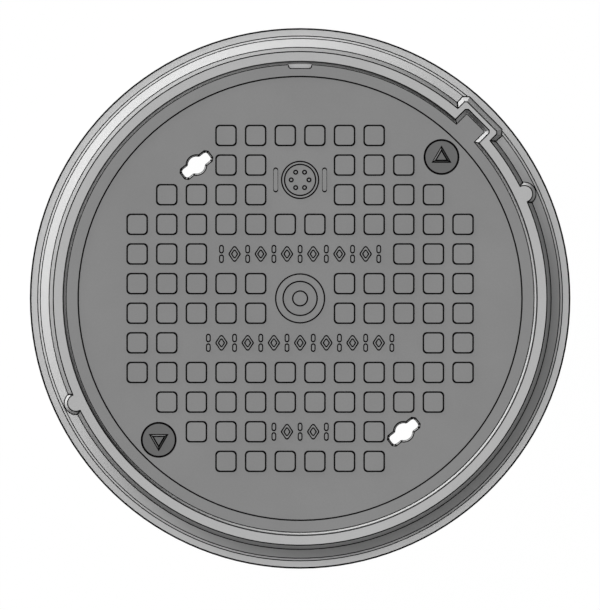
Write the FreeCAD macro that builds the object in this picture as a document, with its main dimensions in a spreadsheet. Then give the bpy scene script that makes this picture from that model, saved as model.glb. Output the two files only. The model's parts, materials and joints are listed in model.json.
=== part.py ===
import FreeCAD, Part
import os
import Sketcher

# Cable pit cover: a round cast-iron frame, the studded cover that lies in it, and two key-turned locks.
# Millimetres and degrees. Z runs up, and the origin is the middle of the frame's underside.

SIZES = {
    # Frame: the ring that is built in round the pit, outward from its clear opening
    "frame_height": 90,
    "clear_opening": 600,
    "seat_width": 20,
    "seat_depth": 30,
    "seat_draft": 6,
    "ledge_thick": 12,
    "ring_width": 14,
    "wall_thick": 10.5,
    "wall_draft": 3.6,
    "shoulder_height": 19.4,
    "shoulder_slope": 34,
    "base_reach": 31,
    "base_thick": 10,
    # Frame: bulge with the pocket for the cover's tab, and the two half-round posts
    "tab_azimuth": 45,
    "bulge_end_wall": 7.5,
    "bulge_side_wall": 9.4,
    "bulge_draft": 4,
    "bulge_corner": 3,
    "pocket_end_gap": 4.5,
    "pocket_side_gap": 4.4,
    "pocket_draft": 8,
    "pocket_corner": 2.5,
    "post_d": 24,
    "post_draft": 2.4,
    "post_azimuth": 25,
    # Cover: plate, rim and skirt
    "edge_gap": 3.5,
    "edge_draft": 3,
    "rim_width": 16.5,
    "rim_draft": 10,
    "plate_thick": 12,
    "skirt_width": 15,
    "skirt_draft": 5,
    "tab_length": 19.5,
    "tab_width": 35.2,
    "tab_draft": 5,
    "tab_corner": 1.5,
    "notch_azimuth": 90,
    "notch_width": 30,
    "notch_depth": 5.5,
    "notch_corner": 1.8,
    # Cover: ribs under the plate
    "hub_ring_d": 200,
    "rib_thick": 8,
    "rib_depth": 30,
    "rib_draft": 2,
    "rib_count": 8,
    "arch_start_d": 420,
    # Cover: raised studs
    "stud_height": 4,
    "stud_side": 29,
    "stud_pitch": 40,
    "stud_draft": 10,
    # Cover: the two keyholes, placed in steps of the stud pitch
    "keyhole_columns": 3.5,
    "keyhole_rows": 4.5,
    "keyhole_bore_d": 27,
    "keyhole_length": 47,
    "keyhole_width": 17,
    "keyhole_corner": 3.5,
    "keyhole_draft": 11,
    # Locks: place, head and shank
    "lock_azimuth": 45,
    "lock_inset": 46.5,
    "head_d": 45,
    "head_thick": 8,
    "head_gap": 0.6,
    "key_side": 24,
    "key_draft": 27,
    "shank_d": 20,
    "shank_gap": 0.03,
    "lock_boss_d": 52,
    "lock_boss_draft": 8,
    # Locks: latch and what holds it on the shank
    "latch_gap": 1,
    "latch_thick": 10,
    "latch_hub_d": 44,
    "latch_overlap": 20,
    "latch_root_width": 36,
    "latch_nose_width": 26,
    "latch_corner": 4,
    "latch_ramp_drop": 3,
    "latch_ramp_run": 9,
    "square_side": 14,
    "square_gap": 0.1,
    "square_relief": 0.4,
    "screw_d": 12,
    "screw_gap": 0.1,
    "screw_end": 3,
    "nut_width": 19,
    "nut_height": 15,
    "slot_width": 3.6,
    "slot_depth": 5,
    "split_pin_d": 3.2,
    "split_pin_gap": 0.15,
    "split_pin_eye_d": 7,
    "split_pin_wire": 1.4,
    "split_pin_reach": 1,
    "split_pin_spread": 5,
    "split_pin_angle": 40,
}

# The studs stand on a square grid of twelve rows and columns, in runs side by side.
# Each run length is followed by the row and column where every run of that length starts.
GRID_LINES = 12
STUD_RUNS = {
    2: [(1, 3), (7, 0), (7, 10), (10, 7)],
    3: [(1, 7), (4, 0), (4, 9), (10, 2)],
    4: [(2, 1), (2, 7)],
    5: [(5, 0), (5, 7), (6, 0), (6, 7)],
    6: [(0, 3), (11, 3)],
    10: [(9, 1)],
    12: [(3, 0), (8, 0)],
}

# Posts, keyholes and locks each come as two, on opposite sides of the pit
PAIR = "2"

# Heights that several pieces share
TOP = "Size.frame_height"
LEDGE = "(Size.frame_height - Size.seat_depth)"
LEDGE_UNDER = "(Size.frame_height - Size.seat_depth - Size.ledge_thick)"
FIELD = "(Size.frame_height - Size.stud_height)"
PLATE_UNDER = "(Size.frame_height - Size.stud_height - Size.plate_thick)"
RIB_UNDER = "(Size.frame_height - Size.stud_height - Size.plate_thick - Size.rib_depth)"
LATCH_TOP = f"({LEDGE_UNDER} - Size.latch_gap)"
LATCH_UNDER = f"({LATCH_TOP} - Size.latch_thick)"
NUT_UNDER = f"({LATCH_UNDER} - Size.nut_height)"
SPLIT_PIN = f"({NUT_UNDER} + Size.slot_depth / 2)"
SPINDLE_END = f"({NUT_UNDER} - Size.screw_end)"

# Radii that several pieces share
OPENING = "(Size.clear_opening / 2)"
RECESS = f"({OPENING} + Size.seat_width)"
RING = f"({RECESS} + Size.ring_width)"
BASE = f"({RING} + Size.base_reach)"
COVER = f"({RECESS} - Size.edge_gap)"
COVER_FOOT = f"({COVER} - Size.seat_depth * tan(Size.edge_draft))"
SKIRT_INSIDE = f"({COVER_FOOT} - Size.skirt_width)"
LOCK = f"({COVER} - Size.lock_inset)"
TAB_END = f"({COVER} + Size.tab_length)"
POCKET_END = f"({TAB_END} + Size.pocket_end_gap)"
HALF_POCKET = "(Size.tab_width / 2 + Size.pocket_side_gap)"

# Half thickness of the ribs where they meet the plate, and at their foot
HALF_RIB = "(Size.rib_thick / 2)"
HALF_RIB_FOOT = f"({HALF_RIB} - Size.rib_depth * tan(Size.rib_draft))"

doc = FreeCAD.newDocument("CablePitCover")
sheet = doc.addObject("Spreadsheet::Sheet", "Size")
for row, (alias, number) in enumerate(SIZES.items(), 1):
    sheet.set(f"A{row}", alias)
    sheet.set(f"B{row}", str(number))
    sheet.setAlias(f"B{row}", alias)
doc.recompute()


def value(expression):
    """Number that an expression over the sheet comes to."""
    return float(sheet.evalExpression(expression))


def origin_feature(body, role):
    """Plane or axis of a body's own origin."""
    return next(item for item in body.Origin.OriginFeatures if item.Role == role)


def make_body(label, radius="0", azimuth="0"):
    """Empty body whose X axis points outward, at a radius and azimuth round the pit."""
    body = doc.addObject("PartDesign::Body", label)
    body.Label = label
    body.setExpression("Placement.Base.x", f"{radius} * cos({azimuth})")
    body.setExpression("Placement.Base.y", f"{radius} * sin({azimuth})")
    body.setExpression("Placement.Rotation.Angle", azimuth)
    return body


def make_sketch(body, name, height="0", azimuth="0", plane="XY_Plane"):
    """Sketch on an origin plane, moved along the plane's normal and turned in the plane."""
    sketch = body.newObject("Sketcher::SketchObject", f"{body.Name}_{name}")
    sketch.AttachmentSupport = [(origin_feature(body, plane), "")]
    sketch.MapMode = "FlatFace"
    sketch.setExpression("AttachmentOffset.Base.z", height)
    sketch.setExpression("AttachmentOffset.Rotation.Angle", azimuth)
    return sketch


def constrain(sketch, rows):
    """Add constraints in one go. Each row is a constraint and the expression of its size, or None."""
    indices = sketch.addConstraint([constraint for constraint, expression in rows])
    for index, (constraint, expression) in zip(indices, rows):
        if expression:
            sketch.setExpression(f"Constraints[{index}]", expression)


def pinned(geometry, end, x, y):
    """Constraints that hold one point of a sketch at two expressions."""
    rows = []
    for kind, axis, expression in (("DistanceX", -2, x), ("DistanceY", -1, y)):
        distance = value(expression)
        if distance == 0:
            rows.append((Sketcher.Constraint("PointOnObject", geometry, end, axis), None))
        else:
            rows.append((Sketcher.Constraint(kind, -1, 1, geometry, end, distance), expression))
    return rows


def add_circle(sketch, x, y, diameter):
    """Circle held at a centre and a diameter."""
    centre = FreeCAD.Vector(value(x), value(y), 0)
    circle = sketch.addGeometry(Part.Circle(centre, FreeCAD.Vector(0, 0, 1), value(diameter) / 2))
    width = Sketcher.Constraint("Diameter", circle, value(diameter))
    constrain(sketch, [(width, diameter), *pinned(circle, 3, x, y)])


def add_outline(sketch, corners):
    """Closed outline of straight lines. Each corner is x and y, as expressions."""
    points = [FreeCAD.Vector(value(x), value(y), 0) for x, y in corners]
    ends = points[1:] + points[:1]
    lines = [sketch.addGeometry(Part.LineSegment(start, end)) for start, end in zip(points, ends)]
    rows = []
    for i, (x, y) in enumerate(corners):
        rows.append((Sketcher.Constraint("Coincident", lines[i - 1], 2, lines[i], 1), None))
        rows += pinned(lines[i], 1, x, y)
    constrain(sketch, rows)


def box_corners(x_low, x_high, y_low, y_high):
    """Corners of an upright rectangle, in turn."""
    return [(x_low, y_low), (x_high, y_low), (x_high, y_high), (x_low, y_high)]


def regular_corners(sides, across_corners, x="0", y="0", first=0):
    """Corners of a regular polygon about a point, the first corner at an azimuth."""
    steps = [f"({first} + {side} * 360 / {sides})" for side in range(sides)]
    return [(f"{x} + {across_corners} / 2 * cos({step})", f"{y} + {across_corners} / 2 * sin({step})")
            for step in steps]


def cut_box_corners(x_low, x_high, half_width, cut):
    """Corners of a rectangle about the X axis, all cut off at 45 degrees."""
    return [
        (x_low, f"{half_width} - {cut}"),
        (x_low, f"{cut} - {half_width}"),
        (f"{x_low} + {cut}", f"-{half_width}"),
        (f"{x_high} - {cut}", f"-{half_width}"),
        (x_high, f"{cut} - {half_width}"),
        (x_high, f"{half_width} - {cut}"),
        (f"{x_high} - {cut}", half_width),
        (f"{x_low} + {cut}", half_width),
    ]


def cut_end_corners(x_low, x_high, half_width, cut):
    """Corners of a rectangle about the X axis, those at its outer end cut off at 45 degrees."""
    return [
        (x_low, f"-{half_width}"),
        (f"{x_high} - {cut}", f"-{half_width}"),
        (x_high, f"{cut} - {half_width}"),
        (x_high, f"{half_width} - {cut}"),
        (f"{x_high} - {cut}", half_width),
        (x_low, half_width),
    ]


def extrude(kind, body, name, sketch, length, draft="0", downward=False):
    """Pad or Pocket of a sketch, upward or downward, that narrows on its way by a draft angle."""
    feature = body.newObject(f"PartDesign::{kind}", f"{body.Name}_{name}")
    feature.Profile = sketch
    feature.setExpression("Length", length)
    feature.setExpression("TaperAngle", f"-({draft})")
    feature.Reversed = downward == (kind == "Pad")
    return feature


def turn(kind, body, name, sketch):
    """Revolution or Groove of a sketch, all the way round the body's Z axis."""
    feature = body.newObject(f"PartDesign::{kind}", f"{body.Name}_{name}")
    feature.Profile = sketch
    feature.ReferenceAxis = (sketch, ["V_Axis"])
    feature.Angle = 360
    return feature


def repeat_round(body, name, features, count):
    """The same features again at even steps round the body's Z axis."""
    pattern = body.newObject("PartDesign::PolarPattern", f"{body.Name}_{name}")
    pattern.Originals = features
    pattern.Axis = (origin_feature(body, "Z_Axis"), [""])
    pattern.Angle = 360
    pattern.setExpression("Occurrences", count)
    body.Tip = pattern
    return pattern


def make_frame():
    """Frame casting: turned outside, bulge and posts, then the inside cut out as one core."""
    body = make_body("frame")
    wall_root = f"({RING} + ({TOP} - Size.shoulder_height) * tan(Size.wall_draft))"
    flange_root = f"({wall_root} + (Size.shoulder_height - Size.base_thick) / tan(Size.shoulder_slope))"
    outside = make_sketch(body, "outside", plane="XZ_Plane")
    add_outline(outside, [
        ("0", "0"),
        (BASE, "0"),
        (BASE, "Size.base_thick"),
        (flange_root, "Size.base_thick"),
        (wall_root, "Size.shoulder_height"),
        (RING, TOP),
        ("0", TOP),
    ])
    turn("Revolution", body, "block", outside)

    wall_depth = f"({TOP} - Size.base_thick)"
    wall_middle = f"({RECESS} + Size.ring_width / 2)"
    bulge = make_sketch(body, "bulge", TOP, "Size.tab_azimuth")
    bulge_end = f"({POCKET_END} + Size.bulge_end_wall)"
    half_bulge = f"({HALF_POCKET} + Size.bulge_side_wall)"
    add_outline(bulge, cut_end_corners(wall_middle, bulge_end, half_bulge, "Size.bulge_corner"))
    extrude("Pad", body, "bulge_pad", bulge, wall_depth, "-Size.bulge_draft", downward=True)

    post = make_sketch(body, "post", TOP, "Size.post_azimuth")
    add_circle(post, RING, "0", "Size.post_d")
    post_pad = extrude("Pad", body, "post_pad", post, wall_depth, "-Size.post_draft", downward=True)
    repeat_round(body, "posts", [post_pad], PAIR)

    seat_foot = f"({RECESS} - Size.seat_depth * tan(Size.seat_draft))"
    core = f"({RING} + ({TOP} - {LEDGE_UNDER}) * tan(Size.wall_draft) - Size.wall_thick)"
    core_foot = f"({core} + {LEDGE_UNDER} * tan(Size.wall_draft))"
    inside = make_sketch(body, "inside", plane="XZ_Plane")
    add_outline(inside, [
        ("0", "0"),
        (core_foot, "0"),
        (core, LEDGE_UNDER),
        (OPENING, LEDGE_UNDER),
        (OPENING, LEDGE),
        (seat_foot, LEDGE),
        (RECESS, TOP),
        ("0", TOP),
    ])
    turn("Groove", body, "core", inside)

    pocket = make_sketch(body, "pocket", TOP, "Size.tab_azimuth")
    add_outline(pocket, cut_end_corners(OPENING, POCKET_END, HALF_POCKET, "Size.pocket_corner"))
    extrude("Pocket", body, "tab_pocket", pocket, "Size.seat_depth", "Size.pocket_draft", downward=True)

    hollow = make_sketch(body, "hollow", "0", "Size.tab_azimuth")
    add_outline(hollow, box_corners(OPENING, POCKET_END, f"-{HALF_POCKET}", HALF_POCKET))
    extrude("Pocket", body, "bulge_hollow", hollow, LEDGE_UNDER, "Size.wall_draft")
    return body


def add_ribs(body):
    """Radial ribs under the plate, arched up towards the skirt."""
    rib = make_sketch(body, "rib", PLATE_UNDER, "180 / Size.rib_count")
    add_outline(rib, box_corners("Size.hub_ring_d / 2", OPENING, f"-{HALF_RIB}", HALF_RIB))
    rib_pad = extrude("Pad", body, "rib_pad", rib, "Size.rib_depth", "Size.rib_draft", downward=True)
    repeat_round(body, "ribs", [rib_pad], "Size.rib_count")
    arch = make_sketch(body, "arch", plane="XZ_Plane")
    add_outline(arch, [
        ("Size.arch_start_d / 2", RIB_UNDER),
        (SKIRT_INSIDE, LEDGE),
        (COVER, LEDGE),
        (COVER, RIB_UNDER),
    ])
    turn("Groove", body, "arched_ribs", arch)


def add_lock_seats(body):
    """Bosses under the plate, and in each the shank's bore with the head's recess."""
    boss = make_sketch(body, "boss", PLATE_UNDER, "Size.lock_azimuth")
    add_circle(boss, LOCK, "0", "Size.lock_boss_d")
    boss_depth = f"{PLATE_UNDER} - {LATCH_TOP}"
    boss_pad = extrude("Pad", body, "boss_pad", boss, boss_depth, "Size.lock_boss_draft", downward=True)
    repeat_round(body, "bosses", [boss_pad], PAIR)
    doc.recompute()
    bores = make_sketch(body, "bores", FIELD, "Size.lock_azimuth")
    add_circle(bores, LOCK, "0", "Size.shank_d")
    hole = body.newObject("PartDesign::Hole", f"{body.Name}_lock_bore")
    hole.Profile = bores
    doc.recompute()
    hole.DepthType = "ThroughAll"
    hole.HoleCutType = "Counterbore"
    hole.HoleCutCustomValues = True
    hole.setExpression("Diameter", "Size.shank_d + 2 * Size.shank_gap")
    hole.setExpression("HoleCutDiameter", "Size.head_d + 2 * Size.head_gap")
    hole.setExpression("HoleCutDepth", "Size.head_thick")
    repeat_round(body, "lock_bores", [hole], PAIR)


def add_keyholes(body):
    """Two drafted keyholes through the plate, each a round bore with a slot across it."""
    column = "(-Size.keyhole_columns * Size.stud_pitch)"
    line = "(Size.keyhole_rows * Size.stud_pitch)"
    azimuth = f"atan2({line}; {column})"
    radius = f"sqrt({line}^2 + {column}^2)"
    bore = make_sketch(body, "keyhole_bore", FIELD, azimuth)
    add_circle(bore, radius, "0", "Size.keyhole_bore_d")
    bore_cut = extrude(
        "Pocket", body, "keyhole_bore_cut", bore, "Size.plate_thick", "Size.keyhole_draft", downward=True)
    slot = make_sketch(body, "keyhole_slot", FIELD, azimuth)
    half_width = "Size.keyhole_width / 2"
    half_length = "(Size.keyhole_length / 2)"
    add_outline(slot, cut_box_corners(
        f"({radius} - {half_width})", f"({radius} + {half_width})", half_length, "Size.keyhole_corner"))
    slot_cut = extrude(
        "Pocket", body, "keyhole_slot_cut", slot, "Size.plate_thick", "Size.keyhole_draft", downward=True)
    repeat_round(body, "keyholes", [bore_cut, slot_cut], PAIR)


def make_studs():
    """Raised square studs: for each run length, the first stud of every such run, repeated along X."""
    body = make_body("studs")
    body.AllowCompound = True
    half_side = "Size.stud_side / 2"
    for length, starts in STUD_RUNS.items():
        sketch = make_sketch(body, f"first_of_{length}", FIELD)
        for line, column in starts:
            x = f"({column - (GRID_LINES - 1) / 2} * Size.stud_pitch)"
            y = f"({(GRID_LINES - 1) / 2 - line} * Size.stud_pitch)"
            add_outline(sketch, box_corners(
                f"{x} - {half_side}", f"{x} + {half_side}", f"{y} - {half_side}", f"{y} + {half_side}"))
        studs = extrude("Pad", body, f"studs_of_{length}", sketch, "Size.stud_height", "Size.stud_draft")
        run = body.newObject("PartDesign::LinearPattern", f"{body.Name}_runs_of_{length}")
        run.Originals = [studs]
        run.Direction = (origin_feature(body, "X_Axis"), [""])
        run.Mode = "Spacing"
        run.setExpression("Offset", "Size.stud_pitch")
        run.Occurrences = length
        body.Tip = run
    return body


def make_cover():
    """Cover casting: turned plate with rim, skirt and ring ribs, then the tab, ribs, holes and studs."""
    body = make_body("cover")
    rim_inside = f"({COVER} - Size.rim_width)"
    rim_lean = "Size.stud_height * tan(Size.rim_draft)"
    skirt_lean = f"({PLATE_UNDER} - {LEDGE}) * tan(Size.skirt_draft)"
    section = make_sketch(body, "section", plane="XZ_Plane")
    add_outline(section, [
        ("0", FIELD),
        ("0", PLATE_UNDER),
        (f"Size.hub_ring_d / 2 - {HALF_RIB}", PLATE_UNDER),
        (f"Size.hub_ring_d / 2 - {HALF_RIB_FOOT}", RIB_UNDER),
        (f"Size.hub_ring_d / 2 + {HALF_RIB_FOOT}", RIB_UNDER),
        (f"Size.hub_ring_d / 2 + {HALF_RIB}", PLATE_UNDER),
        (f"{SKIRT_INSIDE} - {skirt_lean}", PLATE_UNDER),
        (SKIRT_INSIDE, LEDGE),
        (COVER_FOOT, LEDGE),
        (COVER, TOP),
        (rim_inside, TOP),
        (f"{rim_inside} - {rim_lean}", FIELD),
    ])
    turn("Revolution", body, "plate", section)

    tab = make_sketch(body, "tab", TOP, "Size.tab_azimuth")
    tab_root = f"({COVER} - Size.rim_width / 2)"
    add_outline(tab, cut_end_corners(tab_root, TAB_END, "(Size.tab_width / 2)", "Size.tab_corner"))
    extrude("Pad", body, "tab_pad", tab, "Size.seat_depth", "Size.tab_draft", downward=True)

    add_ribs(body)
    add_lock_seats(body)
    add_keyholes(body)

    notch = make_sketch(body, "notch", TOP, "Size.notch_azimuth")
    notch_floor = f"({COVER} - Size.notch_depth)"
    half_notch = "(Size.notch_width / 2)"
    add_outline(notch, [
        (notch_floor, f"{half_notch} - Size.notch_corner"),
        (notch_floor, f"Size.notch_corner - {half_notch}"),
        (f"{notch_floor} + Size.notch_corner", f"-{half_notch}"),
        (RECESS, f"-{half_notch}"),
        (RECESS, half_notch),
        (f"{notch_floor} + Size.notch_corner", half_notch),
    ])
    extrude("Pocket", body, "pry_notch", notch, "Size.seat_depth", downward=True)

    with_studs = body.newObject("PartDesign::Boolean", "cover_with_studs")
    with_studs.Type = "Fuse"
    with_studs.Group = [make_studs()]
    body.Tip = with_studs
    return body


def make_spindle(label, azimuth):
    """Lock spindle: round head with a raised three-cornered key, shank, square and threaded end."""
    body = make_body(label, LOCK, azimuth)
    square_corner = "Size.square_side / 2"
    section = make_sketch(body, "section", plane="XZ_Plane")
    head_under = f"({FIELD} - Size.head_thick)"
    add_outline(section, [
        ("0", SPINDLE_END),
        ("Size.screw_d / 2", SPINDLE_END),
        ("Size.screw_d / 2", LATCH_TOP),
        ("Size.shank_d / 2", LATCH_TOP),
        ("Size.shank_d / 2", head_under),
        ("Size.head_d / 2", head_under),
        ("Size.head_d / 2", FIELD),
        ("0", FIELD),
    ])
    turn("Revolution", body, "turned", section)
    square = make_sketch(body, "square", f"{LATCH_UNDER} + Size.square_relief")
    add_outline(square, box_corners(f"-{square_corner}", square_corner, f"-{square_corner}", square_corner))
    extrude("Pad", body, "square_pad", square, "Size.latch_thick - Size.square_relief")
    key = make_sketch(body, "key", FIELD)
    add_outline(key, regular_corners(3, "(2 * Size.key_side / sqrt(3))", first="Size.lock_azimuth"))
    extrude("Pad", body, "key_pad", key, "Size.stud_height", "Size.key_draft")
    cross_hole = make_sketch(body, "cross_hole", "0", plane="XZ_Plane")
    add_circle(cross_hole, "0", SPLIT_PIN, "Size.split_pin_d + 2 * Size.split_pin_gap")
    hole = extrude("Pocket", body, "split_pin_hole", cross_hole, "2 * Size.screw_d")
    hole.Midplane = True
    return body


def make_latch(label, azimuth):
    """Latch: round hub with a square hole, and an arm whose nose has a ramp on top."""
    body = make_body(label, LOCK, azimuth)
    hub = make_sketch(body, "hub", LATCH_UNDER)
    add_circle(hub, "0", "0", "Size.latch_hub_d")
    extrude("Pad", body, "hub_pad", hub, "Size.latch_thick")
    arm = make_sketch(body, "arm", LATCH_UNDER)
    reach = f"({OPENING} + Size.latch_overlap - {LOCK})"
    half_root = "Size.latch_root_width / 2"
    half_nose = "(Size.latch_nose_width / 2)"
    add_outline(arm, [
        ("0", f"-{half_root}"),
        (f"{reach} - Size.latch_corner", f"-{half_nose}"),
        (reach, f"Size.latch_corner - {half_nose}"),
        (reach, f"{half_nose} - Size.latch_corner"),
        (f"{reach} - Size.latch_corner", half_nose),
        ("0", half_root),
    ])
    extrude("Pad", body, "arm_pad", arm, "Size.latch_thick")
    hole = make_sketch(body, "square_hole", LATCH_TOP)
    half_hole = "(Size.square_side / 2 + Size.square_gap)"
    add_outline(hole, box_corners(f"-{half_hole}", half_hole, f"-{half_hole}", half_hole))
    extrude("Pocket", body, "square_cut", hole, "Size.latch_thick", downward=True)
    ramp = make_sketch(body, "ramp", plane="XZ_Plane")
    add_outline(ramp, [
        (f"{reach} - Size.latch_ramp_run", LATCH_TOP),
        (reach, f"{LATCH_TOP} - Size.latch_ramp_drop"),
        (reach, LATCH_TOP),
    ])
    cut = extrude("Pocket", body, "nose_ramp", ramp, "Size.latch_root_width")
    cut.Midplane = True
    return body


def make_nut(label, azimuth):
    """Slotted nut: hexagon with three slots across its lower end."""
    body = make_body(label, LOCK, azimuth)
    hexagon = make_sketch(body, "hexagon", NUT_UNDER)
    add_outline(hexagon, regular_corners(6, "(2 * Size.nut_width / sqrt(3))"))
    extrude("Pad", body, "hexagon_pad", hexagon, "Size.nut_height")
    bore = make_sketch(body, "bore", NUT_UNDER)
    add_circle(bore, "0", "0", "Size.screw_d + 2 * Size.screw_gap")
    extrude("Pocket", body, "thread_bore", bore, "Size.nut_height")
    slot = make_sketch(body, "slot", NUT_UNDER)
    half_slot = "Size.slot_width / 2"
    add_outline(slot, box_corners(f"-{half_slot}", half_slot, "-Size.nut_width", "Size.nut_width"))
    slot_cut = extrude("Pocket", body, "slot_cut", slot, "Size.slot_depth")
    repeat_round(body, "slots", [slot_cut], "3")
    return body


def make_split_pin(label, azimuth):
    """Split pin through the nut's slots: an eye at one end, the two legs bent apart at the other."""
    body = make_body(label, LOCK, azimuth)
    half_length = "(Size.nut_width / 2 + Size.split_pin_reach)"
    wire = "Size.split_pin_wire"
    shank = make_sketch(body, "shank", f"-{half_length}", plane="XZ_Plane")
    add_circle(shank, "0", SPLIT_PIN, "Size.split_pin_d")
    extrude("Pad", body, "shank_pad", shank, f"2 * {half_length}")
    eye = make_sketch(body, "eye", SPLIT_PIN)
    eye_middle = f"({half_length} + Size.split_pin_eye_d / 2 - {wire} / 2)"
    for across_corners in ("Size.split_pin_eye_d", f"(Size.split_pin_eye_d - 2 * {wire})"):
        add_outline(eye, regular_corners(8, across_corners, y=eye_middle))
    eye_pad = extrude("Pad", body, "eye_pad", eye, wire)
    eye_pad.Midplane = True
    legs = make_sketch(body, "legs", SPLIT_PIN)
    tip_x = "(Size.split_pin_spread * sin(Size.split_pin_angle))"
    tip_y = f"(-{half_length} - Size.split_pin_spread * cos(Size.split_pin_angle))"
    edge_x = f"({tip_x} + {wire} * cos(Size.split_pin_angle))"
    edge_y = f"({tip_y} + {wire} * sin(Size.split_pin_angle))"
    root_y = f"(-{half_length} + {wire} / 2)"
    add_outline(legs, [
        ("0", f"-{half_length}"),
        (tip_x, tip_y),
        (edge_x, edge_y),
        ("Size.split_pin_d / 2", root_y),
        ("-Size.split_pin_d / 2", root_y),
        (f"-{edge_x}", edge_y),
        (f"-{tip_x}", tip_y),
    ])
    legs_pad = extrude("Pad", body, "legs_pad", legs, wire)
    legs_pad.Midplane = True
    return body


pieces = [make_frame(), make_cover()]
for letter, azimuth in (("a", "Size.lock_azimuth"), ("b", "(Size.lock_azimuth + 180)")):
    pieces.append(make_spindle(f"lock_{letter}_spindle", azimuth))
    pieces.append(make_latch(f"lock_{letter}_latch", azimuth))
    pieces.append(make_nut(f"lock_{letter}_slotted_nut", azimuth))
    pieces.append(make_split_pin(f"lock_{letter}_split_pin", azimuth))

doc.recompute()
for item in doc.Objects:
    if {"Invalid", "Error"} & set(item.State):
        raise RuntimeError(f"{item.Label} did not compute")
for piece in pieces:
    if piece.Shape.isNull() or not piece.Shape.isValid() or len(piece.Shape.Solids) != 1:
        raise RuntimeError(f"{piece.Label} is not one valid solid")
os.makedirs("parts", exist_ok=True)
for piece in pieces:
    piece.Shape.exportStep(f"parts/{piece.Label}.step")
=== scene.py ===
import json
import math

import bmesh
import bpy
from mathutils import Matrix, Vector


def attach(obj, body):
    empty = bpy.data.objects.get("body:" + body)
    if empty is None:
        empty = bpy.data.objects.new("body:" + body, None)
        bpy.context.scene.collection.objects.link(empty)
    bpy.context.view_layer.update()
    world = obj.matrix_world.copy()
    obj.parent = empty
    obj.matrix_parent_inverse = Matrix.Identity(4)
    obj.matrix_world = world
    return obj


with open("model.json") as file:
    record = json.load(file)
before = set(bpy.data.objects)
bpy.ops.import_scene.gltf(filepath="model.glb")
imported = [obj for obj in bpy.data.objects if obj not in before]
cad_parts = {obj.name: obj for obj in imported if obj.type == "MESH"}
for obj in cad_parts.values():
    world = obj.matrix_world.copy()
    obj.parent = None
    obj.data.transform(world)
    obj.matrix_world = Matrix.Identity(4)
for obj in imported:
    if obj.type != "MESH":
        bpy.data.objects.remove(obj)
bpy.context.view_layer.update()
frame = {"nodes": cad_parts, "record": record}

# Cable pit cover seen straight from above. Metres, in the frame of the solids, whose origin is the middle
# of the frame's underside, with Z up and Y towards the pry notch.

MM = 0.001

# The cover: its top and recessed field, the studs' pitch and outermost reach, and its rim's inner edge
COVER_TOP = 0.090
FIELD_TOP = 0.086
STUD_PITCH = 0.040
STUDS_REACH = 0.280
RIM_INSIDE = 0.2997

# The frame: heights of its seat and of its shoulder's root, and radii inside its outer wall and its
# flange's edge
SEAT = 0.060
ROOT_TOP = 0.0135
RING_MIDDLE = 0.327
FLANGE_REACH = 0.362

# A point counts as above the field or as at the top of a key from these heights, and as at the rim or the
# seat within these distances
ABOVE_FIELD = FIELD_TOP + 0.2 * MM
KEY_TOP = COVER_TOP - 0.1 * MM
RIM_SLACK = 1.5 * MM
SEAT_SLACK = 1 * MM

# A stud's side and corner radius at its foot, and then each rise with the side that it ends at
STUD_SIDE = 29 * MM
STUD_CORNER = 5.5 * MM
STUD_CORNER_POINTS = 6
STUD_STEPS = ((2.8 * MM, 28 * MM), (0.8 * MM, 27.2 * MM), (0.4 * MM, 24.9 * MM))

# Angles in degrees between the two faces of an edge. Shading is smooth below the first. Edges that turn by
# more than the second are softened, but in the frame not the upright ones of corners cut at 45 degrees.
SMOOTH_ANGLE = 12
SHARP_ANGLE = 40
CUT_CORNER_ANGLES = (43, 47)

# The shoulder's root in the frame turns by less, and is filled with a narrow cone between two dark lines,
# which are painted shade in the root
ROOT_ANGLES = (30, 38)
ROOT_WIDTH = 1.9 * MM
ROOT_LINE_ANGLES = (14, 20)

# How wide the softened edges are, and the shares of it that the cover's rim, the frame's seat, wall and
# root, and the locks' edges below the key's top get
EDGE_WIDTHS = {
    "frame": 2.2 * MM, "cover": 1.15 * MM, "spindle": 1.3 * MM, "latch": 1.3 * MM, "slotted_nut": 0.6 * MM,
}
RIM_SHARE = 0.55
SEAT_SHARE = 0.4
WALL_SHARE = 0.65
ROOT_SHARE = 0.32
HEAD_SHARE = 0.7
WELD_DISTANCE = 0.01 * MM

# Castings: how fine their cloudy tone and specks are and the tones that they give, and the grit's fineness,
# depth and strength
CLOUD_SCALE = 9
CLOUD_TONES = (0.965, 1.035)
SPECK_SCALE = 420
SPECK_TONES = (0.97, 1.03)
GRIT_SCALE = 800
GRIT_DEPTH = 0.4 * MM
GRIT_STRENGTH = 0.25

# Zinc plating: how fine its blotches are and the tones that they give
SPANGLE_SCALE = 160
SPANGLE_TONES = (0.85, 1.1)

# The part of a noise's values that is spread over a whole range of tones or of roughness
NOISE_SPREAD = (0.3, 0.7)
WIDE_SPREAD = (0.25, 0.75)

# Dark lines in corners and along edges, which are painted shade in corners and roots and dark outlines on
# outer edges: how far they reach, and the cosines between a face and its rounded form at which a line begins
# and is full
LINE_WIDTH = 0.9 * MM
LINE_COSINES = (0.97, 0.90)

# Bands that are darker: the frame's outer wall, the top of its seat's wall, and the foot of the keyholes'
# walls. Each has its grey, two radii, two heights, and whether it keeps to walls that face out or in. A
# wall does so not at all below the first of the cosines, and fully above the second.
OUTER_WALL = (138, 0.3335, 0.3395, 0.019, 0.0905, True)
SEAT_WALL_TOP = (60, 0.3188, 0.3202, 0.078, 0.0905, True)
KEYHOLE_FOOT = (14, 0.19, 0.27, 0.0742, 0.0785, False)
FACING_COSINES = (0.9, 0.96)

# Raised ornaments: how far their walls lean, and their tops
MARK_DRAFT = 1.9 * MM
MARK_TOP = COVER_TOP - 0.2 * MM

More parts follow.
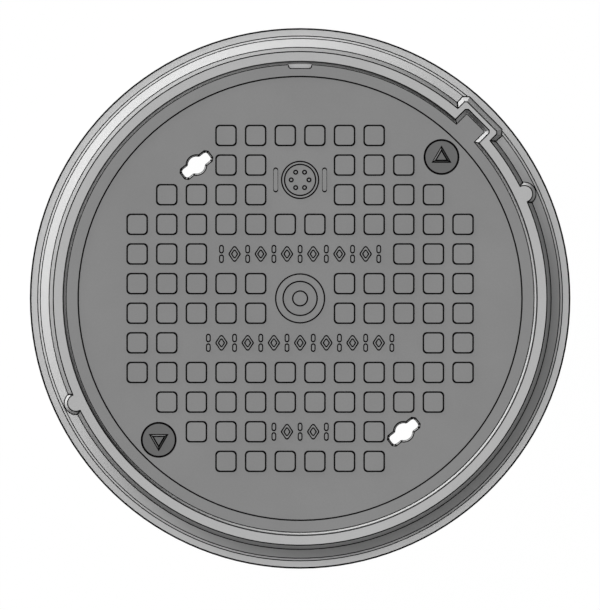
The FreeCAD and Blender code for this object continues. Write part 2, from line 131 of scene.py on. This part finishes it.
# Rows of marks: the place of each in stud steps with its number of marks, the step from mark to mark, the
# width, height and corner radius of a lozenge and of its hole, and the width and height of a short bar and
# how far it lies off the row's middle
MARK_ROWS = ((1.5, 13), (-1.5, 15), (-4.5, 5))
MARK_STEP = 17.7 * MM
LOZENGE = (18 * MM, 26 * MM, 3 * MM)
LOZENGE_HOLE = (6 * MM, 10 * MM, 1 * MM)
SHORT_BAR = (6.6 * MM, 12 * MM)
SHORT_BAR_PLACE = 6.5 * MM

# The ring and boss in the middle, and above them a ring round a circle of dots, with a long bar on either
# side. A ring has its outer and inner radius, and a bar its width and height.
MIDDLE_RING = (34 * MM, 22 * MM)
MIDDLE_BOSS = 11 * MM
UPPER_PLACE = 4 * STUD_PITCH
UPPER_RING = (26 * MM, 20 * MM)
DOTS = 6
DOT_RING = 12 * MM
DOT_RADIUS = 3.5 * MM
DOT_POINTS = 20
LONG_BAR = (6.6 * MM, 34 * MM)
LONG_BAR_PLACE = 33 * MM

# The picture: parallel view, its width and height in pixels, the size of one pixel, and the pixel that the
# object's middle is at
IMAGE_WIDTH = 600
IMAGE_HEIGHT = 610
PIXEL = 1.3502 * MM
OBJECT_MIDDLE_PIXEL = (300.1, 298.4)
CAMERA_HEIGHT = 3
CAMERA_RANGE = 20

# Light: an even sky, a weak lamp from above and a strong one from low on the upper left.
# Each is given as what it adds to a level white surface, or for the low lamp to one that faces it.
LAMP_AZIMUTH = 135
LAMP_ELEVATION = 22
LAMP_SPREAD = 25
SKY_STRENGTH = 0.06
TOP_STRENGTH = 0.25
LAMP_STRENGTH = 1.84
SHADOW_SHARE = 0.06

# The floor: half its side, how far it lies under the frame so that the two faces don't flicker, how much
# light it gives back to the object, and how much of what the camera sees of it is plain white
FLOOR_REACH = 8
FLOOR_DROP = 0.5 * MM
FLOOR_TONE = 0.45
WHITE_SHARE = 0.95

scene = bpy.context.scene


def grey(level):
    """Linear colour of a grey given on the 0 to 255 scale of a picture."""
    share = level / 255
    linear = ((share + 0.055) / 1.055) ** 2.4
    return (linear, linear, linear, 1)


class Graph:
    """Short way to add and join the nodes of one tree."""

    def __init__(self, tree):
        self.tree = tree

    def fill(self, socket, source):
        """Join a socket to another one, or set its value."""
        if isinstance(source, bpy.types.NodeSocket):
            self.tree.links.new(source, socket)
        else:
            socket.default_value = source

    def add(self, kind, inputs=None, **settings):
        node = self.tree.nodes.new(kind)
        for key, setting in settings.items():
            setattr(node, key, setting)
        for key, source in (inputs or {}).items():
            self.fill(node.inputs[key], source)
        return node

    def math(self, operation, *numbers):
        return self.add("ShaderNodeMath", dict(enumerate(numbers)), operation=operation).outputs[0]


class Shading(Graph):
    """Nodes of a material or of the world."""

    def __init__(self, owner):
        owner.use_nodes = True
        super().__init__(owner.node_tree)
        self.tree.nodes.clear()

    def value_range(self, source, low, high, to_low=0, to_high=1):
        ramp = self.add("ShaderNodeMapRange", {
            "Value": source, "From Min": low, "From Max": high, "To Min": to_low, "To Max": to_high,
        })
        return ramp.outputs["Result"]

    def mix_color(self, factor, first, second, blend="MIX"):
        mix = self.add("ShaderNodeMix", {0: factor, 6: first, 7: second}, data_type="RGBA", blend_type=blend)
        return mix.outputs[2]

    def noise(self, scale, detail, roughness):
        place = self.add("ShaderNodeTexCoord").outputs["Object"]
        cloud = self.add("ShaderNodeTexNoise", {
            "Vector": place, "Scale": scale, "Detail": detail, "Roughness": roughness,
        })
        return cloud.outputs["Fac"]

    def vector_math(self, operation, *vectors):
        return self.add("ShaderNodeVectorMath", dict(enumerate(vectors)), operation=operation).outputs

    def is_seen(self):
        """1 for what the camera sees, also reflected or through glass, and 0 for light on the object."""
        path = self.add("ShaderNodeLightPath").outputs
        seen = path["Is Camera Ray"]
        for other_way in (path["Is Glossy Ray"], path["Is Transmission Ray"]):
            seen = self.math("MAXIMUM", seen, other_way)
        return seen

    def mix_shader(self, factor, first, second):
        return self.add("ShaderNodeMixShader", {0: factor, 1: first, 2: second}).outputs["Shader"]

    def finish(self, output, source):
        self.add(output, {"Surface": source})


def wall_band(graph, reach_low, reach_high, height_low, height_high, radial):
    """1 between two radii and two heights, and 0 elsewhere.

    A radial band keeps to walls that face straight out from the middle or straight in to it.
    """
    geometry = graph.add("ShaderNodeNewGeometry").outputs
    level = graph.vector_math("MULTIPLY", geometry["Position"], (1, 1, 0))[0]
    reach = graph.vector_math("LENGTH", level)["Value"]
    height = graph.add("ShaderNodeSeparateXYZ", {0: geometry["Position"]}).outputs["Z"]
    inside = 1
    if radial:
        outward = graph.vector_math("NORMALIZE", level)[0]
        facing = graph.vector_math("DOT_PRODUCT", outward, geometry["True Normal"])["Value"]
        inside = graph.value_range(graph.math("ABSOLUTE", facing), *FACING_COSINES)
    for source, low, high in ((reach, reach_low, reach_high), (height, height_low, height_high)):
        inside = graph.math("MULTIPLY", inside, graph.math("GREATER_THAN", source, low))
        inside = graph.math("MULTIPLY", inside, graph.math("LESS_THAN", source, high))
    return inside


def coated_iron(name, level, line_level, roughness, shine=0.2, bands=()):
    """Coated cast iron: sand-cast grain, uneven tone, dark lines along edges and roots, and darker bands.

    The dark lines are painted shade in corners and roots, and dark outlines on outer edges.
    """
    material = bpy.data.materials.new(name)
    graph = Shading(material)
    speck = graph.noise(SPECK_SCALE, 2, 0.6)
    cloud_tone = graph.value_range(graph.noise(CLOUD_SCALE, 3, 0.6), *NOISE_SPREAD, *CLOUD_TONES)
    speck_tone = graph.value_range(speck, *WIDE_SPREAD, *SPECK_TONES)
    color = graph.mix_color(1, grey(level), graph.math("MULTIPLY", cloud_tone, speck_tone), "MULTIPLY")
    for band_level, *limits in bands:
        color = graph.mix_color(wall_band(graph, *limits), color, grey(band_level))

    # Painted shade in corners and roots, and dark outlines on outer edges: the colour darkens where the
    # rounded normal leaves the face's own
    rounded = graph.add("ShaderNodeBevel", {"Radius": LINE_WIDTH}, samples=8).outputs["Normal"]
    flat = graph.add("ShaderNodeNewGeometry").outputs["True Normal"]
    facing = graph.vector_math("DOT_PRODUCT", rounded, flat)["Value"]
    color = graph.mix_color(graph.value_range(facing, *LINE_COSINES), color, grey(line_level))

    bump = graph.add("ShaderNodeBump", {
        "Height": graph.noise(GRIT_SCALE, 3, 0.65), "Strength": GRIT_STRENGTH, "Distance": GRIT_DEPTH,
    })
    shader = graph.add("ShaderNodeBsdfPrincipled", {
        "Base Color": color, "Normal": bump.outputs["Normal"], "Specular IOR Level": shine,
        "Roughness": graph.value_range(speck, *NOISE_SPREAD, roughness - 0.05, roughness + 0.05),
    })
    graph.finish("ShaderNodeOutputMaterial", shader.outputs["BSDF"])
    return material


def bare_steel(name, level, roughness):
    """Zinc-plated steel of the small fasteners, a little blotchy."""
    material = bpy.data.materials.new(name)
    graph = Shading(material)
    spangle = graph.noise(SPANGLE_SCALE, 3, 0.5)
    tone = graph.value_range(spangle, *NOISE_SPREAD, *SPANGLE_TONES)
    shader = graph.add("ShaderNodeBsdfPrincipled", {
        "Base Color": graph.mix_color(1, grey(level), tone, "MULTIPLY"), "Metallic": 1.0,
        "Roughness": graph.value_range(spangle, *NOISE_SPREAD, roughness - 0.08, roughness + 0.1),
    })
    graph.finish("ShaderNodeOutputMaterial", shader.outputs["BSDF"])
    return material


# Each finish has its grey and its roughness, and between the two a casting has the grey of its lines,
# which are dark outlines on its edges and painted shade in its corners and roots
MATERIALS = {
    "frame_iron": coated_iron("frame_iron", 174, 20, 0.65, bands=(OUTER_WALL, SEAT_WALL_TOP)),
    "cover_iron": coated_iron("cover_iron", 130, 14, 0.65, bands=(KEYHOLE_FOOT,)),
    "lock_iron": coated_iron("lock_iron", 98, 10, 0.55),
    "latch_iron": coated_iron("latch_iron", 120, 30, 0.6),
    "fixing_steel": bare_steel("fixing_steel", 190, 0.35),
}
# Near-black finish of the narrow bevel strips and of the studs', marks' and rim's walls: dark outlines, and
# painted shade where they line corners and roots
EDGE_LINE = coated_iron("edge_line", 6, 6, 0.8, shine=0.02)


class Shaping(Graph):
    """Geometry nodes that turn the mesh that goes in into the one that comes out."""

    def __init__(self, name):
        super().__init__(bpy.data.node_groups.new(name, "GeometryNodeTree"))
        self.tree.interface.new_socket("Geometry", in_out="INPUT", socket_type="NodeSocketGeometry")
        self.tree.interface.new_socket("Geometry", in_out="OUTPUT", socket_type="NodeSocketGeometry")
        self.entry = self.add("NodeGroupInput").outputs[0]
        self.exit = self.add("NodeGroupOutput").inputs[0]

    def place(self):
        """Distance of each point from the upright axis through the middle, and its height."""
        position = self.add("GeometryNodeInputPosition").outputs[0]
        place = self.add("ShaderNodeSeparateXYZ", {0: position}).outputs
        square = self.math("ADD", self.math("POWER", place["X"], 2.0), self.math("POWER", place["Y"], 2.0))
        return self.math("SQRT", square), place["Z"]

    def turns_by_more(self, degrees):
        """Whether the two faces of an edge turn by more than an angle."""
        angle = self.add("GeometryNodeInputMeshEdgeAngle").outputs["Unsigned Angle"]
        return self.math("GREATER_THAN", angle, math.radians(degrees))

    def turns_between(self, low, high):
        """Whether the two faces of an edge turn by an angle between two limits in degrees."""
        return self.math("SUBTRACT", self.turns_by_more(low), self.turns_by_more(high))

    def paint(self, mesh, material, chosen=True):
        """Give the chosen faces of a mesh a material."""
        painted = self.add("GeometryNodeSetMaterial", {0: mesh, "Selection": chosen, "Material": material})
        return painted.outputs[0]

    def weigh(self, mesh, weight):
        """Store the share of a bevel's width that each edge of a mesh gets."""
        weighted = self.add("GeometryNodeStoreNamedAttribute", {
            "Geometry": mesh, "Name": "bevel_weight_edge", "Value": weight,
        }, data_type="FLOAT", domain="EDGE")
        return weighted.outputs[0]

    def finish(self, source):
        self.fill(self.exit, source)
        return self.tree


def stud_group():
    """Gives the studs round corners and edges, closes the field under them, and weights the other edges."""
    graph = Shaping("studs")
    reach, height = graph.place()
    above_field = graph.math("GREATER_THAN", height, ABOVE_FIELD)
    is_stud = graph.math("MULTIPLY", above_field, graph.math("LESS_THAN", reach, STUDS_REACH))
    parted = graph.add("GeometryNodeSeparateGeometry", {0: graph.entry, 1: is_stud}, domain="FACE")

    sides_of_edge = graph.add("GeometryNodeInputMeshEdgeNeighbors").outputs[0]
    foot = graph.add("FunctionNodeCompare", {2: sides_of_edge, 3: 1}, data_type="INT", operation="EQUAL")
    loops = graph.add("GeometryNodeMeshToCurve", {0: parted.outputs[0], 1: foot.outputs[0]}).outputs[0]
    rounded = graph.add("GeometryNodeFilletCurve", {
        "Curve": loops, "Radius": STUD_CORNER, "Count": STUD_CORNER_POINTS,
    }, mode="POLY").outputs[0]
    placed = []
    # The studs' walls and the strip at their foot take the near-black finish: dark outlines, painted shade
    # at the foot
    for outline, material in ((loops, MATERIALS["cover_iron"]), (rounded, EDGE_LINE)):
        flat = graph.add("GeometryNodeFillCurve", {0: outline}, mode="NGONS").outputs[0]
        raised = graph.add("GeometryNodeTransform", {0: flat, "Translation": (0, 0, FIELD_TOP)}).outputs[0]
        placed.append(graph.paint(raised, material))
    patch, stud = placed
    top = True
    side = STUD_SIDE
    for rise, next_side in STUD_STEPS:
        pulled = graph.add("GeometryNodeExtrudeMesh", {
            "Mesh": stud, "Selection": top, "Offset": (0, 0, 1), "Offset Scale": rise, "Individual": False,
        }, mode="FACES")
        top = pulled.outputs["Top"]
        stud = graph.add("GeometryNodeScaleElements", {
            "Geometry": pulled.outputs["Mesh"], "Selection": top, "Scale": next_side / side,
        }, domain="FACE").outputs[0]
        side = next_side
    stud = graph.paint(stud, MATERIALS["cover_iron"], top)

    from_rim = graph.math("ABSOLUTE", graph.math("SUBTRACT", reach, RIM_INSIDE))
    less_at_rim = graph.math("MULTIPLY", graph.math("LESS_THAN", from_rim, RIM_SLACK), 1 - RIM_SHARE)
    # The rim's wall above the field takes the near-black finish: a dark outline, painted shade at its foot
    plate = graph.paint(parted.outputs[1], EDGE_LINE, graph.math("MULTIPLY", less_at_rim, above_field))
    share = graph.math("SUBTRACT", 1.0, less_at_rim)
    plate = graph.weigh(plate, graph.math("MULTIPLY", graph.turns_by_more(SHARP_ANGLE), share))
    joined = graph.add("GeometryNodeJoinGeometry")
    for mesh in (patch, stud, plate):
        graph.fill(joined.inputs[0], mesh)
    return graph.finish(joined.outputs[0])


def root_group():
    """Weights the root of the frame's shoulder."""
    graph = Shaping("frame_root")
    return graph.finish(graph.weigh(graph.entry, graph.turns_between(*ROOT_ANGLES)))


def edge_group():
    """Weights the edges of the frame: wide on the flange, narrow round the seat, none on it."""
    graph = Shaping("frame_edges")
    reach, height = graph.place()
    sharp = graph.math("SUBTRACT", graph.turns_by_more(SHARP_ANGLE), graph.turns_between(*CUT_CORNER_ANGLES))
    from_seat = graph.math("ABSOLUTE", graph.math("SUBTRACT", height, SEAT))
    sharp = graph.math("MULTIPLY", sharp, graph.math("GREATER_THAN", from_seat, SEAT_SLACK))
    outer = graph.math("MULTIPLY", graph.math("GREATER_THAN", reach, FLANGE_REACH), 1 - WALL_SHARE)
    wall = graph.math("MULTIPLY", graph.math("GREATER_THAN", reach, RING_MIDDLE), WALL_SHARE - SEAT_SHARE)
    share = graph.math("ADD", graph.math("ADD", outer, wall), SEAT_SHARE)
    low = graph.math("LESS_THAN", height, ROOT_TOP)
    root = graph.math("MULTIPLY", graph.turns_between(*ROOT_LINE_ANGLES), low)
    weight = graph.math(
        "MAXIMUM", graph.math("MULTIPLY", sharp, share), graph.math("MULTIPLY", root, ROOT_SHARE))
    return graph.finish(graph.weigh(graph.entry, weight))


def lock_group():
    """Weights the edges of a lock's pieces: wide round the top of its key, narrow elsewhere."""
    graph = Shaping("lock_edges")
    height = graph.place()[1]
    top = graph.math("MULTIPLY", graph.math("GREATER_THAN", height, KEY_TOP), 1 - HEAD_SHARE)
    share = graph.math("ADD", top, HEAD_SHARE)
    weight = graph.math("MULTIPLY", graph.turns_by_more(SHARP_ANGLE), share)
    return graph.finish(graph.weigh(graph.entry, weight))


def shading_group():
    """Smooth shading that breaks where two faces meet at more than a small angle."""
    graph = Shaping("smooth_shading")
    plain = graph.add("GeometryNodeSetMeshNormal", {
        "Mesh": graph.entry, "Remove Custom": True,
    }, mode="SHARPNESS")
    angle = graph.add("GeometryNodeInputMeshEdgeAngle").outputs["Unsigned Angle"]
    soft = graph.add("FunctionNodeCompare", {0: angle, 1: math.radians(SMOOTH_ANGLE)}, operation="LESS_THAN")
    edges = graph.add("GeometryNodeSetShadeSmooth", {
        "Geometry": plain.outputs[0], "Shade Smooth": soft.outputs["Result"],
    }, domain="EDGE")
    return graph.finish(edges.outputs[0])


def add_group(node, name, group):
    """Run a group of geometry nodes on a solid."""
    node.modifiers.new(name, "NODES").node_group = group


def add_bevel(node, name, width):
    """Cut a solid's weighted edges back by their share of a width."""
    bevel = node.modifiers.new(name, "BEVEL")
    bevel.limit_method = "WEIGHT"
    bevel.width = width
    bevel.segments = 1
    bevel.use_clamp_overlap = False
    return bevel


def soften(node, weights, width):
    """Bevel a solid's edges a little, and give the narrow strips that this leaves its second material."""
    node.modifiers.new("weld", "WELD").merge_threshold = WELD_DISTANCE
    if node.name == "frame":
        add_group(node, "root_weights", root_group())
        add_bevel(node, "root", ROOT_WIDTH)
    add_group(node, "edge_weights", weights)
    edges = add_bevel(node, "edges", width)
    edges.loop_slide = False
    edges.material = 1
    add_group(node, "shading", SMOOTH_SHADING)


SMOOTH_SHADING = shading_group()
LOCK_EDGES = lock_group()
WEIGHTS = {"frame": edge_group(), "cover": stud_group()}


def dress_solids():
    """Give each solid its finish, and all but the split pins softened edges."""
    for part in frame["record"]["subparts"]:
        node = frame["nodes"][part["node"]]
        kind = part["node"].removeprefix("lock_a_").removeprefix("lock_b_")
        finish = MATERIALS[part["material_slot"]]
        node.data.materials.clear()
        node.data.materials.append(finish)
        if kind in EDGE_WIDTHS:
            node.data.materials.append(finish if kind == "slotted_nut" else EDGE_LINE)
            soften(node, WEIGHTS.get(kind, LOCK_EDGES), EDGE_WIDTHS[kind])


def new_piece(name, mesh, body, slot):
    """Object of a mesh that rides on a body and wears a slot's finish."""
    piece = bpy.data.objects.new(name, mesh)
    scene.collection.objects.link(piece)
    mesh.materials.append(MATERIALS[slot])
    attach(piece, body)
    return piece


def raised_shape(shape, outline, hole=()):
    """Raised shape with leaning dark walls, in an outline and, if given, round a hole of as many points."""
    tops = []
    for points, inward in ((outline, -MARK_DRAFT), (hole, MARK_DRAFT)):
        middle = sum((Vector(point) for point in points), Vector((0, 0))) / max(len(points), 1)
        foot = [shape.verts.new((x, y, FIELD_TOP)) for x, y in points]
        top = []
        for point in points:
            away = Vector(point) - middle
            moved = middle + away * (1 + inward / away.length)
            top.append(shape.verts.new((*moved, MARK_TOP)))
        for i in range(len(points)):
            wall = (foot[i - 1], foot[i], top[i], top[i - 1])
            # The walls take the near-black finish: dark outlines, painted shade at their foot
            shape.faces.new(wall if inward < 0 else wall[::-1]).material_index = 1
        tops.append(top)
    outer, inner = tops
    if not inner:
        shape.faces.new(outer)
        return
    for i in range(len(outer)):
        shape.faces.new((outer[i - 1], outer[i], inner[i], inner[i - 1]))


def bar_points(x, y, width, height, steps=6):
    """Points round an upright bar with round ends."""
    radius = width / 2
    reach = height / 2 - radius
    points = []
    for side, start in ((1, 0), (-1, 180)):
        for step in range(steps + 1):
            turn = math.radians(start + 180 * step / steps)
            points.append((x + radius * math.cos(turn), y + side * reach + radius * math.sin(turn)))
    return points


def lozenge_points(x, y, width, height, corner, steps=4):
    """Points round a lozenge with rounded corners, a quarter at a time from its right corner."""
    points = []
    lean = math.atan2(height, width)
    for quarter in range(4):
        half_tip = (lean, math.pi / 2 - lean)[quarter % 2]
        inset = corner / math.sin(half_tip)
        reach = (width, height)[quarter % 2] / 2 - inset
        azimuth = quarter * math.pi / 2
        middle_x = x + reach * math.cos(azimuth)
        middle_y = y + reach * math.sin(azimuth)
        for step in range(steps + 1):
            turn = azimuth + (math.pi / 2 - half_tip) * (2 * step / steps - 1)
            points.append((middle_x + corner * math.cos(turn), middle_y + corner * math.sin(turn)))
    return points


def circle_points(x, y, radius, steps=48):
    """Points round a circle."""
    turns = [math.tau * step / steps for step in range(steps)]
    return [(x + radius * math.cos(turn), y + radius * math.sin(turn)) for turn in turns]


def mark_row(shape, y, count):
    """Row of open lozenges and of pairs of short bars, in turn."""
    for index in range(count):
        x = (index - (count - 1) / 2) * MARK_STEP
        if index % 2:
            raised_shape(shape, lozenge_points(x, y, *LOZENGE), lozenge_points(x, y, *LOZENGE_HOLE))
        else:
            for side in (-1, 1):
                raised_shape(shape, bar_points(x, y + side * SHORT_BAR_PLACE, *SHORT_BAR))


def ring(shape, y, radii):
    """Flat ring between two radii, above the middle of the cover by y."""
    raised_shape(shape, *(circle_points(0, y, radius) for radius in radii))


def make_marks():
    """Raised plain ornaments in the places on the cover that aren't studded."""
    shape = bmesh.new()
    for stud_steps, count in MARK_ROWS:
        mark_row(shape, stud_steps * STUD_PITCH, count)
    ring(shape, 0, MIDDLE_RING)
    raised_shape(shape, circle_points(0, 0, MIDDLE_BOSS))
    ring(shape, UPPER_PLACE, UPPER_RING)
    for x, y in circle_points(0, UPPER_PLACE, DOT_RING, DOTS):
        raised_shape(shape, circle_points(x, y, DOT_RADIUS, DOT_POINTS))
    for side in (-1, 1):
        raised_shape(shape, bar_points(side * LONG_BAR_PLACE, UPPER_PLACE, *LONG_BAR))
    mesh = bpy.data.meshes.new("raised_marks")
    shape.to_mesh(mesh)
    shape.free()
    piece = new_piece("raised_marks", mesh, "frame", "cover_iron")
    piece.data.materials.append(EDGE_LINE)


def make_floor():
    """Pale floor, white to the camera but for a trace of the object's shadow, and clear from below."""
    material = bpy.data.materials.new("floor_white")
    graph = Shading(material)
    seen = graph.is_seen()
    matt = graph.add("ShaderNodeBsdfDiffuse", {"Color": graph.value_range(seen, 0, 1, FLOOR_TONE, 1)})
    white = graph.add("ShaderNodeEmission", {"Color": (1, 1, 1, 1), "Strength": 1.0})
    white_share = graph.math("MULTIPLY", seen, WHITE_SHARE)
    from_above = graph.mix_shader(white_share, matt.outputs["BSDF"], white.outputs["Emission"])
    is_below = graph.add("ShaderNodeNewGeometry").outputs["Backfacing"]
    clear = graph.add("ShaderNodeBsdfTransparent").outputs["BSDF"]
    graph.finish("ShaderNodeOutputMaterial", graph.mix_shader(is_below, from_above, clear))

    shape = bmesh.new()
    bmesh.ops.create_grid(shape, x_segments=1, y_segments=1, size=FLOOR_REACH)
    mesh = bpy.data.meshes.new("floor")
    shape.to_mesh(mesh)
    shape.free()
    mesh.materials.append(material)
    floor = bpy.data.objects.new("floor", mesh)
    floor.location.z = -FLOOR_DROP
    scene.collection.objects.link(floor)


def make_sky():
    """Even light from all round, white to the camera and in what it sees reflected."""
    scene.world = bpy.data.worlds.new("sky")
    graph = Shading(scene.world)
    light, white = (
        graph.add("ShaderNodeBackground", {"Color": (1, 1, 1, 1), "Strength": strength}).outputs[0]
        for strength in (SKY_STRENGTH, 1.0))
    graph.finish("ShaderNodeOutputWorld", graph.mix_shader(graph.is_seen(), light, white))


def make_lamp(name, strength, elevation, casts=True):
    """Distant soft lamp on the upper left at an elevation, with its shadows and glints or with neither."""
    light = bpy.data.lights.new(name, "SUN")
    light.energy = math.pi * strength
    light.angle = math.radians(LAMP_SPREAD)
    light.use_shadow = casts
    lamp = bpy.data.objects.new(name, light)
    lamp.visible_glossy = casts
    turn = Matrix.Rotation(math.radians(LAMP_AZIMUTH + 90), 4, "Z")
    tip = Matrix.Rotation(math.radians(90 - elevation), 4, "X")
    lamp.matrix_world = turn @ tip
    scene.collection.objects.link(lamp)


def make_lamps():
    """Top lamp, and the low lamp in two shares of which only one casts shadows."""
    make_lamp("top_lamp", TOP_STRENGTH, 90)
    make_lamp("low_lamp", LAMP_STRENGTH * SHADOW_SHARE, LAMP_ELEVATION)
    make_lamp("low_lamp_fill", LAMP_STRENGTH * (1 - SHADOW_SHARE), LAMP_ELEVATION, casts=False)


def make_camera():
    """Parallel view straight down, framed as the picture is."""
    camera = bpy.data.cameras.new("camera")
    camera.type = "ORTHO"
    camera.ortho_scale = IMAGE_HEIGHT * PIXEL
    camera.clip_end = CAMERA_RANGE
    view = bpy.data.objects.new("camera", camera)
    across = (IMAGE_WIDTH / 2 - OBJECT_MIDDLE_PIXEL[0]) * PIXEL
    down = (IMAGE_HEIGHT / 2 - OBJECT_MIDDLE_PIXEL[1]) * PIXEL
    view.location = (across, -down, CAMERA_HEIGHT)
    scene.collection.objects.link(view)
    scene.camera = view


dress_solids()
make_marks()
make_floor()
make_sky()
make_lamps()
make_camera()
scene.view_settings.view_transform = "Standard"
